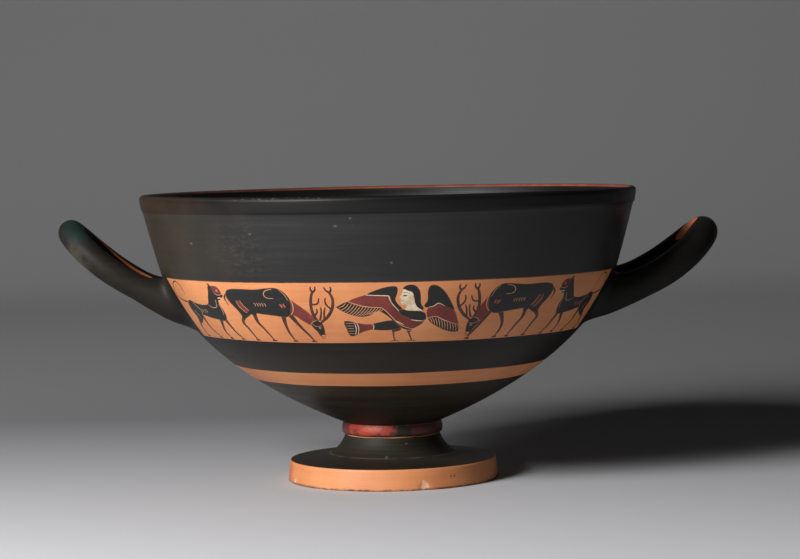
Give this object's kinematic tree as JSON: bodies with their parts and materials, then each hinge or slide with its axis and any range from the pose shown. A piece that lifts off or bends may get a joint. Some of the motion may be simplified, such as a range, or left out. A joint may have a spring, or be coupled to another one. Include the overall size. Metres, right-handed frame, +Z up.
{
  "type": "black-figure skyphos",
  "caption": "Footed clay drinking bowl with flaring wall, round moulding above a flat disc foot and a pair of upswept horseshoe loop handles.",
  "frame": {"origin": "centre of the foot's resting plane, midway between the handles", "axes": "+Z up through the mouth, +X through the lower of the two handles, +Y away from the shown side"},
  "size_m": [0.2947, 0.2212, 0.129],
  "materials": {
    "skyphos": "satin black slip over orange clay, with a reserved orange frieze of painted animals"
  },
  "bodies": {
    "root": {"skyphos": "skyphos"}
  },
  "joints": []
}
